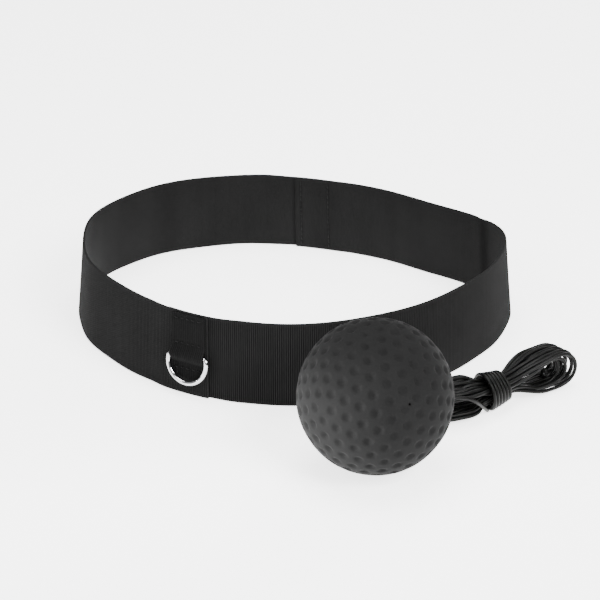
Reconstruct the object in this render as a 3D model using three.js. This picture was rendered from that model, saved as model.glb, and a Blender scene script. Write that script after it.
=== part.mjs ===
// Reflex ball headband: a closed loop of elastic webbing that stands on its lower edge, with a
// D-ring held on its front by a sewn tab, and a foam ball on an elastic cord that lies beside it.
// Millimetres. +Z is up and z = 0 is the surface it stands on. +X is to the wearer's left as seen
// from the front, -Y is the front, where the D-ring and the ball are.
import * as THREE from 'three';

// Webbing band
const WEB_WIDTH = 38;
const WEB_THICK = 1.3;
// The wall leans in by LEAN for each mm of height, and by these more at the sides and at the back
const LEAN = 0.042;
const LEAN_SIDE = 0.048;
const LEAN_BACK = 0.042;
const EDGE_ROUND = 0.35;
const LAP_LENGTH = 20;
const LAP_SHIFT = 0.8; // each layer moves aside by this where the two lengths lie on each other
const LAP_EASE = 12; // length over which a layer comes back to the middle
const FRONT_LAP_X = -35.8; // outer end of the left length, on the front
const BACK_LAP_X = 20; // outer end of the left length, on the back
const BAND_STEP = 5;

// Tab and D-ring
const TAB_WIDTH = 16;
const TAB_THICK = 1;
const TAB_TOP = 37.4;
const TAB_FOOT = 8.4;
const TAB_X = -43.4;
const BAR_HEIGHT = 18.9;
const WIRE = 2;
const RING_HALF = 9.3; // half the ring's width, on the wire's middle
const RING_DROP = 12.1; // bar to the lowest point, on the wire's middle
const RING_CORNER = 2.2;
const RING_TILT = 0.15; // rad, the ring lies on the tab's foot
const TUNNEL_RISE = 2.35;
const TUNNEL_HALF = 4;

// Sewing thread
const THREAD_R = 0.22;
const THREAD_LIFT = 0.1;
const STITCH = 2.6;
const ROW_INSET = 3;

// Ball
const BALL_R = 31;
const BALL_CENTRE = new THREE.Vector3(32, -97, 31);
const HOLE_AXIS = new THREE.Vector3(0.392, -0.858, 0.331).normalize(); // to the knotted side
const HOLE_R = 1.2;
const PIT_R = 2.3; // the hollow under the skin that the knot is pulled into
const PIT_DEPTH = 5.7;
const SKIN = 1.2; // foam that closes over the knot, round the hole's front mouth

// Cord
const CORD = 1.6;
const KNOT_R = 1.9;
const WRAP_IN = 5.9;
const WRAP_OUT = 7.5;
const WRAP_LENGTH = 10.8;
const HANK_WIDTH = 16;
const HANK_HEIGHT = 15.4;
const HANK_TAPER = 12; // length of each rounded end

const GAP = 0.3; // between pieces that touch

const OUTLINE = [
  [98, 57], [62, 95], [22, 119], [-25, 128], [-70, 112], [-97, 74],
  [-95, 27], [-69, -15], [-29, -41], [16, -44], [59, -22], [90, 16],
];

// The middle line of the hank, from the end behind the ball to the open end
const HANK_LINE = [
  [34, -60.5, 8.1], [46, -61.5, 8.1], [58, -60, 8.1], [69, -55.4, 8.1],
  [82.8, -46.2, 7.8], [96, -35.6, 8.6], [110.5, -25.6, 9.3], [119.8, -20.6, 9.8],
];
const WAIST_INDEX = 4;

// The cord's way from the ball's hole down to the surface and into the hank
const LEAD_LINE = [
  [13.9, -57.6, 12.5], [11.6, -52.3, 5.2], [15.2, -50.2, 1.4], [21, -52.6, 1.1], [27.2, -56.8, 2.6],
];

const webbingDark = { color: 0x2b2b2d, roughness: 0.88, metalness: 0 };
const webbingRib = { color: 0x262628, roughness: 0.85, metalness: 0 };
const threadBlack = { color: 0x1c1c1e, roughness: 0.7, metalness: 0 };
const foam = { color: 0x3a3a3c, roughness: 0.72, metalness: 0 };
const chrome = { color: 0xd9dadd, roughness: 0.14, metalness: 1 };
const cordBlack = { color: 0x1f1f1f, roughness: 0.6, metalness: 0 };

const band = new THREE.CatmullRomCurve3(
  OUTLINE.map(([x, y]) => new THREE.Vector3(x, y, 0)), true, 'centripetal');
band.arcLengthDivisions = 1200;
const BAND_LENGTH = band.getLength();

// One closed solid through a row of rings of points, with flat ends or joined end to end
function loft(rings, joined = false) {
  const sides = rings[0].length;
  const points = rings.flat();
  const faces = [];
  const spans = joined ? rings.length : rings.length - 1;
  for (let i = 0; i < spans; i++) {
    const a = i * sides;
    const b = ((i + 1) % rings.length) * sides;
    for (let j = 0; j < sides; j++) {
      const k = (j + 1) % sides;
      faces.push(a + j, a + k, b + k, a + j, b + k, b + j);
    }
  }
  if (!joined) {
    for (const first of [0, points.length - sides]) {
      const middle = new THREE.Vector3();
      for (let j = 0; j < sides; j++) middle.addScaledVector(points[first + j], 1 / sides);
      for (let j = 0; j < sides; j++) {
        const k = (j + 1) % sides;
        const turn = first === 0 ? [first + k, first + j] : [first + j, first + k];
        faces.push(points.length, ...turn);
      }
      points.push(middle);
    }
  }
  return facingOut(new THREE.BufferGeometry().setFromPoints(points), faces);
}

// Turns every face round if the solid is inside out
function facingOut(geometry, faces) {
  const p = geometry.getAttribute('position');
  const [a, b, c] = [new THREE.Vector3(), new THREE.Vector3(), new THREE.Vector3()];
  let volume = 0;
  for (let i = 0; i < faces.length; i += 3) {
    a.fromBufferAttribute(p, faces[i]);
    b.fromBufferAttribute(p, faces[i + 1]);
    c.fromBufferAttribute(p, faces[i + 2]);
    volume += a.dot(b.cross(c));
  }
  geometry.setIndex(volume < 0 ? faces.slice().reverse() : faces);
  geometry.computeVertexNormals();
  return geometry;
}

// A point beside the band's middle line, s mm along it, out mm outwards and z mm up
function bandPoint(s, out, z) {
  const u = (((s / BAND_LENGTH) % 1) + 1) % 1;
  const along = band.getTangentAt(u);
  const point = band.getPointAt(u);
  const lean = LEAN + LEAN_SIDE * along.y ** 2 - LEAN_BACK * along.x;
  const aside = out - lean * z;
  return new THREE.Vector3(point.x + along.y * aside, point.y - along.x * aside, z);
}

// How far along the band its middle line passes x, on the front or on the back
function bandAt(x, onFront) {
  let best = 0;
  let error = Infinity;
  for (let s = 0; s < BAND_LENGTH; s += 0.1) {
    const p = band.getPointAt(s / BAND_LENGTH);
    if (p.y < 40 === onFront && Math.abs(p.x - x) < error) {
      best = s;
      error = Math.abs(p.x - x);
    }
  }
  return best;
}

const FRONT_LAP = bandAt(FRONT_LAP_X, true) - LAP_LENGTH;
const BACK_LAP = bandAt(BACK_LAP_X, false);

const easeDown = (d) => 1 - THREE.MathUtils.smoothstep(d, 0, LAP_EASE);

// A length of webbing from one lap to the next, moved out or in where it is lapped
function strap(start, end, side) {
  const steps = Math.round((end - start) / BAND_STEP);
  const h = WEB_THICK / 2;
  const c = EDGE_ROUND;
  const section = [
    [c - h, 0], [h - c, 0], [h, c], [h, WEB_WIDTH - c],
    [h - c, WEB_WIDTH], [c - h, WEB_WIDTH], [-h, WEB_WIDTH - c], [-h, c],
  ];
  const rings = [];
  for (let i = 0; i <= steps; i++) {
    const s = start + ((end - start) * i) / steps;
    const fromLap = Math.min(s - start, end - s) - LAP_LENGTH;
    const shift = side * LAP_SHIFT * easeDown(Math.max(0, fromLap));
    rings.push(section.map(([out, z]) => bandPoint(s, shift + out, z)));
  }
  return loft(rings);
}

// A row of stitches as one thread: place(d, lift) gives a point d mm along it, lift mm off the face
function stitchRow(place, length) {
  const steps = Math.round(length / STITCH) * 4;
  const rings = [];
  for (let i = 0; i <= steps; i++) {
    const d = (length * i) / steps;
    const lift = THREAD_R + THREAD_LIFT + 0.15 * Math.sin((Math.PI * (i % 4)) / 4);
    const middle = place(d, lift);
    const up = place(d, lift + 1).sub(middle).normalize();
    const ahead = place(d + 0.5, lift).sub(middle);
    const side = ahead.cross(up).normalize();
    const ring = [];
    for (let j = 0; j < 6; j++) {
      const angle = (Math.PI * j) / 3;
      ring.push(middle.clone()
        .addScaledVector(side, THREAD_R * Math.cos(angle))
        .addScaledVector(up, THREAD_R * Math.sin(angle)));
    }
    rings.push(ring);
  }
  return loft(rings);
}

// An upright row of stitches at s on the band; facing is 1 outside and -1 inside
function lapRow(s, layer, facing) {
  const face = layer * LAP_SHIFT + (facing * WEB_THICK) / 2;
  return stitchRow((d, lift) => bandPoint(s, face + facing * lift, 1.5 + d), WEB_WIDTH - 3);
}

// The tab's own frame: x outwards from the webbing's face, y up along it, z to the left
function tabFrame() {
  const s = bandAt(TAB_X, true);
  const face = LAP_SHIFT + WEB_THICK / 2;
  const foot = bandPoint(s, face, 0);
  const out = bandPoint(s, face + 1, 0).sub(foot).normalize();
  const up = bandPoint(s, face, 1).sub(foot).normalize();
  out.addScaledVector(up, -out.dot(up)).normalize();
  const left = out.clone().cross(up);
  return new THREE.Matrix4().makeBasis(out, up, left).setPosition(foot);
}

const inTab = tabFrame();

// How far the middle of the tab's thickness stands off the webbing, at height y
function tabOut(y) {
  const reach = Math.min(1, Math.abs(y - BAR_HEIGHT) / TUNNEL_HALF);
  return GAP + TAB_THICK / 2 + (TUNNEL_RISE * (1 + Math.cos(Math.PI * reach))) / 2;
}

// The tab is one strip that runs over the ring's bar and is sewn above and below it
function tab() {
  const heights = [TAB_FOOT];
  for (let i = -6; i <= 6; i++) heights.push(BAR_HEIGHT + (TUNNEL_HALF * i) / 6);
  heights.push(TAB_TOP);
  const outer = [];
  const inner = [];
  for (const y of heights) {
    const slope = (tabOut(y + 0.01) - tabOut(y - 0.01)) / 0.02;
    const normal = new THREE.Vector2(1, -slope).normalize().multiplyScalar(TAB_THICK / 2);
    outer.push(new THREE.Vector2(tabOut(y) + normal.x, y + normal.y));
    inner.push(new THREE.Vector2(tabOut(y) - normal.x, y - normal.y));
  }
  const profile = new THREE.Shape([...outer, ...inner.reverse()]);
  const strip = new THREE.ExtrudeGeometry(profile, { depth: TAB_WIDTH, bevelEnabled: false });
  return strip.translate(0, 0, -TAB_WIDTH / 2).applyMatrix4(inTab);
}

// A row of stitches across the tab at height y
function tabRow(y) {
  const face = GAP + TAB_THICK;
  const width = TAB_WIDTH - 2.4;
  return stitchRow(
    (d, lift) => new THREE.Vector3(face + lift, y, d - width / 2).applyMatrix4(inTab), width);
}

// The D: a straight bar, rounded corners, straight sides and a half circle below
function ringLine() {
  const points = [];
  const arc = (x, y, r, from, to, steps) => {
    for (let i = 0; i <= steps; i++) {
      const angle = THREE.MathUtils.degToRad(from + ((to - from) * i) / steps);
      points.push(new THREE.Vector2(x + r * Math.cos(angle), y + r * Math.sin(angle)));
    }
  };
  const corner = RING_HALF - RING_CORNER;
  points.push(new THREE.Vector2(0, 0));
  arc(corner, -RING_CORNER, RING_CORNER, 90, 0, 4);
  arc(0, RING_HALF - RING_DROP, RING_HALF, 0, -180, 20);
  arc(-corner, -RING_CORNER, RING_CORNER, 180, 90, 4);
  return points;
}

function dRing() {
  const line = ringLine();
  const rings = line.map((p, i) => {
    const next = line[(i + 1) % line.length];
    const last = line[(i + line.length - 1) % line.length];
    const ahead = next.clone().sub(last).normalize();
    const ring = [];
    for (let j = 0; j < 12; j++) {
      const angle = (Math.PI * j) / 6;
      const side = (WIRE / 2) * Math.cos(angle);
      ring.push(new THREE.Vector3(
        (WIRE / 2) * Math.sin(angle), p.y + ahead.x * side, p.x - ahead.y * side));
    }
    return ring;
  });
  const place = new THREE.Matrix4().makeTranslation(GAP + WIRE / 2, BAR_HEIGHT, 0)
    .multiply(new THREE.Matrix4().makeRotationZ(RING_TILT));
  return loft(rings, true).applyMatrix4(place).applyMatrix4(inTab);
}

// Turns a solid made about the Y axis so that Y is the hole's axis and the origin the ball's centre
function onHole(geometry) {
  const turn = new THREE.Quaternion().setFromUnitVectors(new THREE.Vector3(0, 1, 0), HOLE_AXIS);
  return geometry.applyQuaternion(turn).translate(...BALL_CENTRE.toArray());
}

const PIT_FLOOR = Math.sqrt(BALL_R ** 2 - PIT_R ** 2) - PIT_DEPTH;
const KNOT_AT = PIT_FLOOR + GAP + KNOT_R;

// The ball: a hole right through it, wider just under the skin at the front where the knot sits
function ball() {
  const profile = [];
  const low = Math.asin(HOLE_R / BALL_R);
  const high = Math.PI - low;
  const steps = 26;
  for (let i = 0; i <= steps; i++) {
    const angle = low + ((high - low) * i) / steps;
    profile.push(new THREE.Vector2(BALL_R * Math.sin(angle), -BALL_R * Math.cos(angle)));
  }
  profile.push(new THREE.Vector2(HOLE_R, BALL_R - SKIN - 0.4));
  profile.push(new THREE.Vector2(PIT_R - 0.3, BALL_R - SKIN - 0.9));
  profile.push(new THREE.Vector2(PIT_R, BALL_R - SKIN - 1.6));
  profile.push(new THREE.Vector2(PIT_R, PIT_FLOOR));
  profile.push(new THREE.Vector2(HOLE_R, PIT_FLOOR));
  profile.push(profile[0].clone());
  return onHole(new THREE.LatheGeometry(profile, 48));
}

function knot() {
  return onHole(new THREE.SphereGeometry(KNOT_R, 14, 9).translate(0, KNOT_AT, 0));
}

function cordInBall() {
  const top = KNOT_AT - KNOT_R - GAP;
  const foot = -BALL_R - 0.2;
  const rod = new THREE.CylinderGeometry(CORD / 2, CORD / 2, top - foot, 8);
  return onHole(rod.translate(0, (top + foot) / 2, 0));
}

// A round bar along a line of points
function roundBar(points, steps) {
  const section = new THREE.Shape();
  for (let j = 0; j < 8; j++) {
    const angle = (Math.PI * (j + 0.5)) / 4;
    const corner = [(CORD / 2) * Math.cos(angle), (CORD / 2) * Math.sin(angle)];
    if (j === 0) section.moveTo(...corner);
    else section.lineTo(...corner);
  }
  section.closePath();
  const extrudePath = new THREE.CatmullRomCurve3(points);
  return new THREE.ExtrudeGeometry(section, { steps, extrudePath });
}

function cordLead() {
  const exit = (d) => BALL_CENTRE.clone().addScaledVector(HOLE_AXIS, -BALL_R - d);
  const way = LEAD_LINE.map((p) => new THREE.Vector3(...p));
  const into = new THREE.Vector3(...HANK_LINE[0]);
  const end = into.clone().add(way[way.length - 1].clone().sub(into).setLength(GAP + 0.6));
  return roundBar([exit(0.5), exit(6), ...way, end], 14);
}

const hankCurve = new THREE.CatmullRomCurve3(HANK_LINE.map((p) => new THREE.Vector3(...p)));
hankCurve.arcLengthDivisions = 600;
const HANK_LENGTH = hankCurve.getLength();

// The hank's width and height d mm from its waist, where the wraps hold it
function hankSize(d, toEnd) {
  const ease = THREE.MathUtils.smoothstep(Math.abs(d), WRAP_LENGTH / 2 + 2, WRAP_LENGTH / 2 + 15);
  const waist = 2 * (WRAP_IN - GAP) - 0.4;
  const round = Math.max(0.06, 1 - (1 - Math.min(1, toEnd / HANK_TAPER)) ** 2.2);
  return [(waist + (HANK_WIDTH - waist) * ease) * round,
    (waist + (HANK_HEIGHT - waist) * ease) * round];
}

// The outer shape of the folded cord, a bundle that opens out on both sides of its waist
function hank() {
  const waistAt = waistDistance();
  const steps = 40;
  const rings = [];
  for (let i = 0; i <= steps; i++) {
    const bend = i / steps;
    const s = HANK_LENGTH * (bend - Math.sin(2 * Math.PI * bend) / (2 * Math.PI * 1.3));
    const [width, height] = hankSize(s - waistAt, Math.min(s, HANK_LENGTH - s));
    const middle = hankCurve.getPointAt(s / HANK_LENGTH);
    const ahead = hankCurve.getTangentAt(s / HANK_LENGTH);
    const side = new THREE.Vector3(-ahead.y, ahead.x, 0).normalize();
    const up = ahead.clone().cross(side);
    const boxy = THREE.MathUtils.clamp((width - 11) / 5, 0, 1);
    const power = 1 - 0.45 * boxy;
    const ring = [];
    for (let j = 0; j < 20; j++) {
      const angle = (Math.PI * (j + 0.5)) / 10;
      const x = Math.cos(angle);
      const y = Math.sin(angle);
      ring.push(middle.clone()
        .addScaledVector(side, (width / 2) * Math.sign(x) * Math.abs(x) ** power)
        .addScaledVector(up, (height / 2) * Math.sign(y) * Math.abs(y) ** power));
    }
    rings.push(ring);
  }
  return loft(rings);
}

function waistDistance() {
  const waist = new THREE.Vector3(...HANK_LINE[WAIST_INDEX]);
  let best = 0;
  for (let s = 0; s < HANK_LENGTH; s += 0.2) {
    const here = hankCurve.getPointAt(s / HANK_LENGTH).distanceTo(waist);
    if (here < hankCurve.getPointAt(best / HANK_LENGTH).distanceTo(waist)) best = s;
  }
  return best;
}

// The wraps round the waist, as one ring
function wraps() {
  const half = WRAP_LENGTH / 2;
  const profile = [
    [WRAP_IN, -half], [WRAP_OUT - 0.5, -half], [WRAP_OUT, 0.5 - half],
    [WRAP_OUT, half - 0.5], [WRAP_OUT - 0.5, half], [WRAP_IN, half], [WRAP_IN, -half],
  ].map(([r, y]) => new THREE.Vector2(r, y));
  const u = waistDistance() / HANK_LENGTH;
  const turn = new THREE.Quaternion().setFromUnitVectors(
    new THREE.Vector3(0, 1, 0), hankCurve.getTangentAt(u));
  return new THREE.LatheGeometry(profile, 28)
    .applyQuaternion(turn).translate(...hankCurve.getPointAt(u).toArray());
}

const part = new THREE.Group();
function add(name, geometry, finish) {
  const mesh = new THREE.Mesh(geometry, new THREE.MeshStandardMaterial(finish));
  mesh.name = name;
  part.add(mesh);
}

add('strap_right', strap(FRONT_LAP, BAND_LENGTH + BACK_LAP + LAP_LENGTH, -1), webbingRib);
add('strap_left', strap(BACK_LAP, FRONT_LAP + LAP_LENGTH, 1), webbingDark);
for (const [name, at] of [['start', ROW_INSET], ['end', LAP_LENGTH - ROW_INSET]]) {
  add(`back_seam_${name}_inside`, lapRow(BACK_LAP + at, -1, -1), threadBlack);
  add(`back_seam_${name}_outside`, lapRow(BACK_LAP + at, 1, 1), threadBlack);
  add(`front_seam_${name}_inside`, lapRow(FRONT_LAP + at, -1, -1), threadBlack);
}
add('dring_tab', tab(), webbingDark);
add('tab_stitches_top', tabRow(TAB_TOP - 1.8), threadBlack);
add('tab_stitches_middle', tabRow(BAR_HEIGHT + TUNNEL_HALF + 1.4), threadBlack);
add('tab_stitches_low', tabRow(BAR_HEIGHT - TUNNEL_HALF - 2.2), threadBlack);
add('d_ring', dRing(), chrome);
add('ball', ball(), foam);
add('cord_end_knot', knot(), cordBlack);
add('cord_in_ball', cordInBall(), cordBlack);
add('cord_lead', cordLead(), cordBlack);
add('cord_hank', hank(), cordBlack);
add('cord_wraps', wraps(), cordBlack);

export default part;
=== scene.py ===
import math
import bpy
import numpy as np
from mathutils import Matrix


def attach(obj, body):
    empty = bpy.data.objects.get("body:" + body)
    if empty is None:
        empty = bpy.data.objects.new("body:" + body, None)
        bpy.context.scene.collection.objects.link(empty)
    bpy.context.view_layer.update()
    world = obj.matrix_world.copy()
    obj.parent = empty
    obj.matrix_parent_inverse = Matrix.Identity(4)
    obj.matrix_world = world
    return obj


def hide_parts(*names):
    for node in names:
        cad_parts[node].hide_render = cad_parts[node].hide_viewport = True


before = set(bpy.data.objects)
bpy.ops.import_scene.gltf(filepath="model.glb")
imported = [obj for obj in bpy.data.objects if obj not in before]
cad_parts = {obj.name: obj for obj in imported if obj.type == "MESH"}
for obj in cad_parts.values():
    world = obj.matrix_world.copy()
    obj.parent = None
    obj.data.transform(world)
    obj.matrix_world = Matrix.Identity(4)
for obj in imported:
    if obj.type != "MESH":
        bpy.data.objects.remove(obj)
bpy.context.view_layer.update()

MM = 0.001  # lengths below are in millimetres until a mesh is made
scene = bpy.context.scene

# ---------------------------------------------------------------- camera
CAMERA_AT = (2.6, -800.9, 395.7)
CAMERA_LOOKS_AT_Y = 60.6  # where its line of sight meets the floor
LENS, SENSOR = 121.6, 36
camera_data = bpy.data.cameras.new("camera")
camera_data.lens, camera_data.sensor_width = LENS, SENSOR
camera = bpy.data.objects.new("camera", camera_data)
scene.collection.objects.link(camera)
camera.location = [c * MM for c in CAMERA_AT]
camera.rotation_euler = (
    math.pi / 2 - math.atan2(CAMERA_AT[2], CAMERA_LOOKS_AT_Y - CAMERA_AT[1]), 0, 0)
scene.camera = camera

# ---------------------------------------------------------------- sizes, as in the CAD part
WEB_WIDTH = 38
WEB_HALF = 0.55  # half the webbing's thickness between its ribs
WEB_EDGE = 0.42  # radius of the selvages
RIB = 0.9  # pitch of the crosswise ribs
# how far the wall leans in for each mm of height, more at the sides and the back
LEAN, LEAN_SIDE, LEAN_BACK = 0.042, 0.048, 0.042
LAP_LENGTH, LAP_EASE = 20, 12  # and how far past a lap its layers come back to the middle
FRONT_LAP, BACK_LAP = 362.1, 102.0  # where each lap starts along the band
FRONT_OUTER, FRONT_INNER = 0.85, -0.37  # where the layers' middles lie in the laps
BACK_OUTER, BACK_INNER = 0.62, -0.62
ROW_INSET = 3  # from a lap's ends to its rows of thread
FOLD_AT, FOLD_DEPTH, FOLD_REACH = 592.3, 0.7, 3.2  # a soft fold across the right-hand strap
STITCH, THREAD_R = 2.6, 0.22  # pitch of the stitches, and radius of their thread
OUTLINE = [  # the band's middle line on the floor
    (98, 57), (62, 95), (22, 119), (-25, 128), (-70, 112), (-97, 74),
    (-95, 27), (-69, -15), (-29, -41), (16, -44), (59, -22), (90, 16)]

TAB_WIDTH, TAB_THICK, TAB_TOP, TAB_FOOT = 16, 1, 37.4, 8.4
BAR_HEIGHT, TUNNEL_RISE, TUNNEL_HALF = 18.9, 2.35, 4  # the tab's tunnel over the ring's bar
TAB_OUT = np.array([-0.4854, -0.8741, 0.0166])  # the tab's own directions, off the band
TAB_UP = np.array([0.0081, 0.0145, 0.9999])
TAB_LEFT = np.array([-0.8743, 0.4855, 0])
TAB_ORIGIN = np.array([-44.1366, -35.8293, 0])
WIRE, RING_HALF, RING_DROP, RING_CORNER, RING_TILT = 2, 9.3, 12.1, 2.2, 0.15
GAP = 0.3  # kept between touching pieces

BALL_R = 31
BALL_CENTRE = np.array([32, -97, 31.0])
HOLE_AXIS = np.array([0.392, -0.858, 0.331])  # of the hole for the cord, towards its front
HOLE_AXIS /= np.linalg.norm(HOLE_AXIS)
HOLE_R, PIT_R, PIT_DEPTH, SKIN = 1.2, 2.3, 5.7, 1.2  # and the knot's pit at its front
MOUTH_R = 0.5  # the skin closes over the knot's pit, round a small mouth

CORD = 1.6
HANK_LINE = [  # along the hank's middle, from left to right
    (34, -60.5, 8.1), (46, -61.5, 8.1), (58, -60, 8.1), (69, -55.4, 8.1),
    (82.8, -46.2, 7.8), (96, -35.6, 8.6), (110.5, -25.6, 9.3), (119.8, -20.6, 9.8)]
WAIST = 52.8  # how far along it the wraps' middle lies


def smooth(value, low, high):
    """0 up to low, 1 from high, and an even ease between them."""
    t = np.clip((value - low) / (high - low), 0, 1)
    return t * t * (3 - 2 * t)


class Line:
    """A smooth curve through points, measured along its length in mm."""

    def __init__(self, points, joined=False, per_span=160):
        p = np.asarray(points, float)
        n = len(p)
        rows = []
        for k in range(n if joined else n - 1):
            b, c = p[k], p[(k + 1) % n]
            a = p[k - 1] if joined or k else 2 * b - c
            d = p[(k + 2) % n] if joined or k + 2 < n else 2 * c - b
            da, db, dc = (math.sqrt(np.linalg.norm(v)) for v in (b - a, c - b, d - c))
            out = ((b - a) / da - (c - a) / (da + db) + (c - b) / db) * db
            into = ((c - b) / db - (d - b) / (db + dc) + (d - c) / dc) * db
            t = np.linspace(0, 1, per_span, endpoint=False)[:, None]
            rows.append(b + out * t + (3 * (c - b) - 2 * out - into) * t ** 2
                        + (2 * (b - c) + out + into) * t ** 3)
        rows.append(p[:1] if joined else p[-1:])
        self.points = np.concatenate(rows)
        steps = np.linalg.norm(np.diff(self.points, axis=0), axis=1)
        self.at_point = np.concatenate([[0], np.cumsum(steps)])
        self.length = self.at_point[-1]
        self.joined = joined

    def at(self, s):
        s = np.asarray(s, float)
        t = s % self.length if self.joined else np.clip(s, 0, self.length)
        p = np.stack([np.interp(t, self.at_point, c) for c in self.points.T], -1)
        if not self.joined:  # runs straight on past its ends
            p = p + (s - t)[..., None] * self._ahead(t)
        return p

    def _ahead(self, t):
        k = np.clip(np.searchsorted(self.at_point, t), 1, len(self.at_point) - 1)
        d = self.points[k] - self.points[k - 1]
        return d / np.linalg.norm(d, axis=-1, keepdims=True)

    def ahead(self, s, reach=0.6):
        d = self.at(np.asarray(s) + reach) - self.at(np.asarray(s) - reach)
        return d / np.linalg.norm(d, axis=-1, keepdims=True)

    def spaced(self, step):
        return self.at(np.linspace(0, self.length, round(self.length / step) + 1))


class Solid:
    """Vertices and faces of one piece, with a UV for each face corner."""

    def __init__(self):
        self.points, self.faces, self.uv, self.count = [], [], [], 0

    def loft(self, rings, along, around, joined=False, dome=0.0):
        """A closed body through rings of points, with flat or domed ends, or joined up."""
        rings = np.asarray(rings, float)
        n, m = rings.shape[:2]
        start = self.count
        points = rings.reshape(-1, 3)
        i, j = np.meshgrid(np.arange(n if joined else n - 1), np.arange(m), indexing="ij")
        i, j = i.ravel(), j.ravel()
        i2, j2 = (i + 1) % n, (j + 1) % m
        quads = np.stack([i * m + j, i * m + j2, i2 * m + j2, i2 * m + j], -1)
        uv = np.stack([
            np.stack([along[i], along[i], along[i + 1], along[i + 1]], -1),
            np.stack([around[j], around[j + 1], around[j + 1], around[j]], -1)], -1)
        a, b, c, d = (points[quads[:, k]] for k in range(4))
        volume = np.einsum("ij,ij", a, np.cross(b, c)) + np.einsum("ij,ij", a, np.cross(c, d))
        faces, corners = list(map(tuple, (quads + start).tolist())), uv.tolist()
        if not joined:
            for first, inner, s in ((0, m, along[0]), ((n - 1) * m, (n - 2) * m, along[n - 1])):
                ring = points[first:first + m]
                middle = ring.mean(axis=0)
                outward = middle - points[inner:inner + m].mean(axis=0)
                outward /= max(np.linalg.norm(outward), 1e-9)
                tip = start + len(points)
                points = np.concatenate([points, [middle + outward * dome]])
                for k in range(m):
                    k2 = (k + 1) % m
                    pair = (first + k2, first + k) if first == 0 else (first + k, first + k2)
                    faces.append((start + pair[0], start + pair[1], tip))
                    corners.append([[s, around[k]], [s, around[k + 1]], [s, around[k]]])
        if volume < 0:
            faces = [f[::-1] for f in faces]
            corners = [c[::-1] for c in corners]
        self.points.append(points)
        self.faces += faces
        self.uv += corners
        self.count += len(points)
        return self

    def tube(self, line, radius, sides, joined=False, scale=None):
        """A round bar along a row of points, with low domes for its ends."""
        line = np.asarray(line, float)
        if joined:
            ahead = np.roll(line, -1, 0) - np.roll(line, 1, 0)
        else:
            ahead = np.gradient(line, axis=0)
        ahead /= np.linalg.norm(ahead, axis=1, keepdims=True)
        side = np.cross(ahead[0], [0.3, 0.2, 1])
        sides_at = np.empty_like(line)
        for k, a in enumerate(ahead):  # carried along without twisting
            side = side - a * (side @ a)
            side /= np.linalg.norm(side)
            sides_at[k] = side
        up = np.cross(ahead, sides_at)
        spin = np.zeros(len(line))
        if joined:  # spreads the mismatch at the join over the whole round
            last = sides_at[-1] - ahead[0] * (sides_at[-1] @ ahead[0])
            miss = math.atan2(last @ up[0], last @ sides_at[0])
            spin = -miss * np.arange(len(line)) / len(line)
        angle = np.arange(sides) * 2 * math.pi / sides
        a = angle[None, :] + spin[:, None]
        r = radius * (np.ones(len(line)) if scale is None else scale)
        rings = (line[:, None] + r[:, None, None] * (
            np.cos(a)[..., None] * sides_at[:, None] + np.sin(a)[..., None] * up[:, None]))
        steps = np.linalg.norm(np.diff(line, axis=0, append=line[:1]), axis=1)
        along = np.concatenate([[0], np.cumsum(steps)]) * MM
        around = np.arange(sides + 1) / sides
        return self.loft(rings, along, around, joined, radius * 0.35)

    def piece(self, name, finish, body, slot, *nodes, back=None, on_back=None):
        """Its object, on a body, with its finish and the nodes it hides; slot is not used."""
        mesh = bpy.data.meshes.new(name)
        mesh.from_pydata((np.concatenate(self.points) * MM).tolist(), [], self.faces)
        layer = mesh.uv_layers.new(name="run")
        layer.data.foreach_set("uv", [v for face in self.uv for c in face for v in c])
        mesh.polygons.foreach_set("use_smooth", [True] * len(mesh.polygons))
        mesh.materials.append(finish)
        if back is not None:  # a second finish, on the faces marked in on_back
            mesh.materials.append(back)
            marks = np.zeros(len(mesh.polygons), np.int32)
            marks[:len(on_back)] = on_back
            mesh.polygons.foreach_set("material_index", marks)
        mesh.update()
        obj = bpy.data.objects.new(name, mesh)
        scene.collection.objects.link(obj)
        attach(obj, body)
        if nodes:
            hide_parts(*nodes)
        return obj


# ---------------------------------------------------------------- node materials
MIDDLE = (0.3, 0.7)  # the part of a noise's range that its values mostly lie in


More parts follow.
